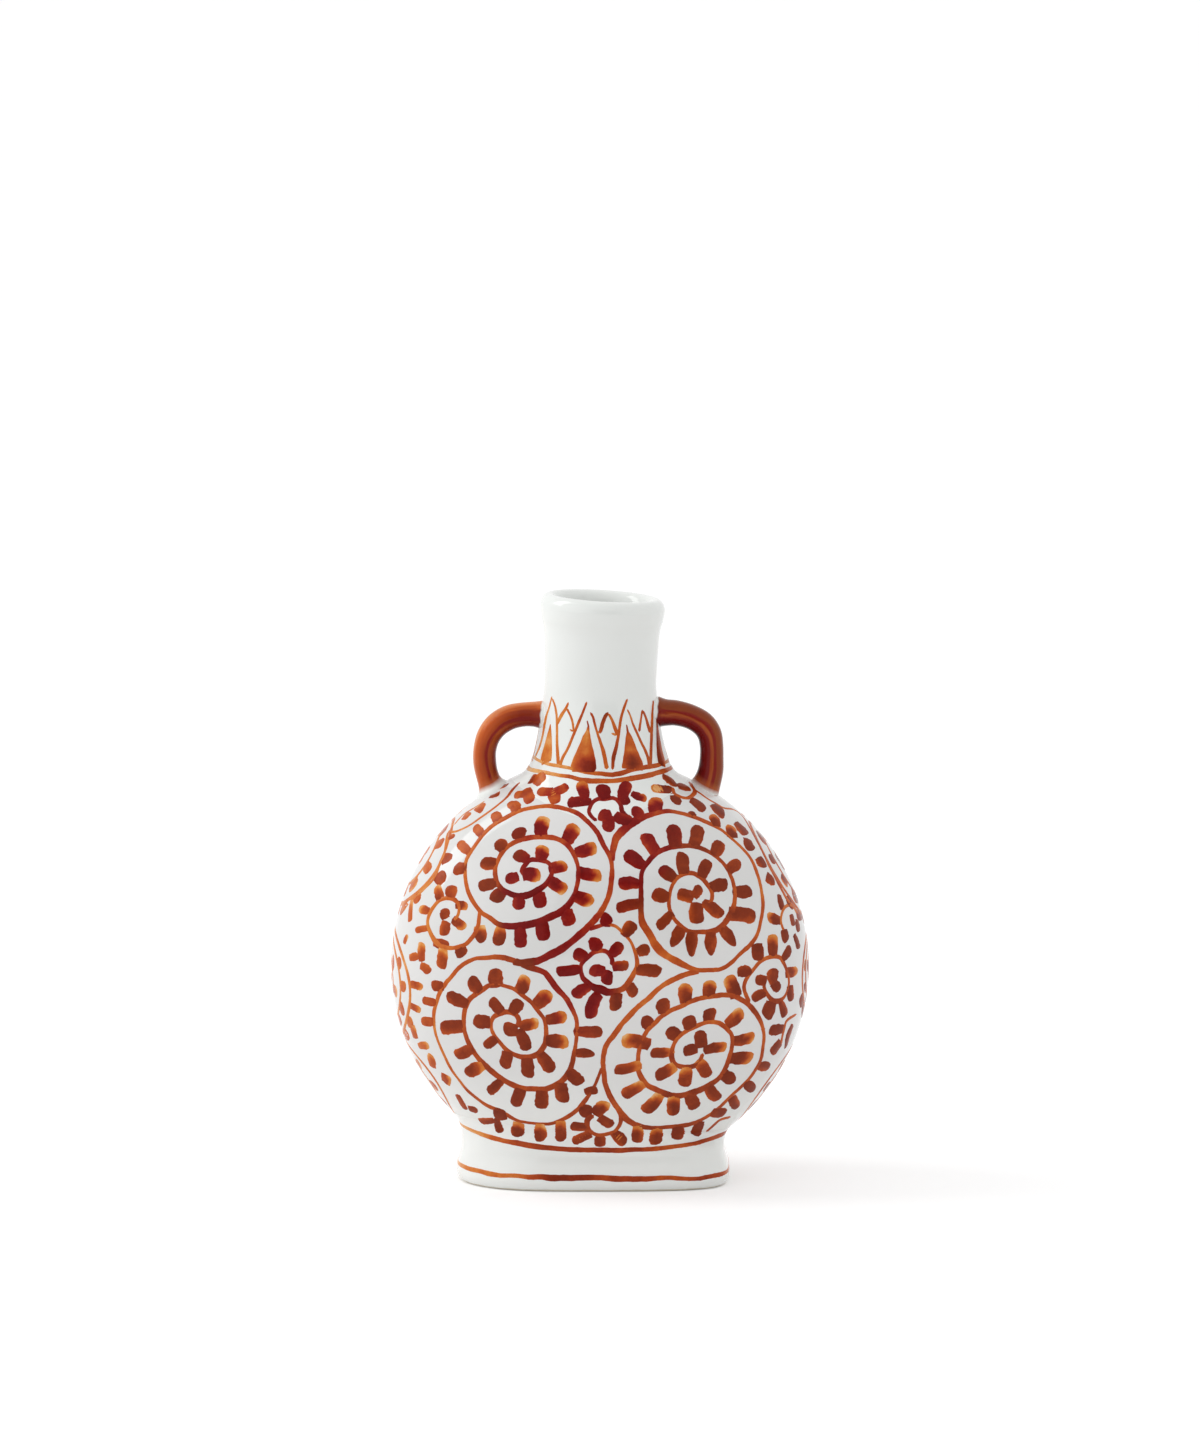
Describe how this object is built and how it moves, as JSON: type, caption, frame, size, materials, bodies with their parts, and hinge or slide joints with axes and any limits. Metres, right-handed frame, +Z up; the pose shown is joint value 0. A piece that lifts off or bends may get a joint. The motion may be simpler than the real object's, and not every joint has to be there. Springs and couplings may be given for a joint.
{
  "type": "porcelain moon flask",
  "caption": "Small painted porcelain moon flask with a round flattened body, a rolled-lip neck, loop handles and an oval foot; it stands and holds a flower or a little liquid.",
  "frame": {"origin": "on the ground below the centre of the body", "axes": "+Z up through the neck, +X to the right as seen from the painted front, +Y to the back"},
  "size_m": [0.0836, 0.051, 0.118],
  "materials": {
    "porcelain": null,
    "iron_red": "opaque porcelain coated with iron-red overglaze enamel, glossy and brushed on unevenly",
    "slip": "fired luting slip of the same clay, opaque and hidden under the glaze"
  },
  "bodies": {
    "root": {"front_dish": "porcelain", "back_dish": "porcelain", "seam_slip": "slip", "neck": "porcelain", "neck_slip": "slip", "foot_ring": "porcelain", "foot_slip": "slip", "left_handle": "iron_red", "left_handle_neck_slip": "slip", "left_handle_shoulder_slip": "slip", "right_handle": "iron_red", "right_handle_neck_slip": "slip", "right_handle_shoulder_slip": "slip"}
  },
  "joints": []
}
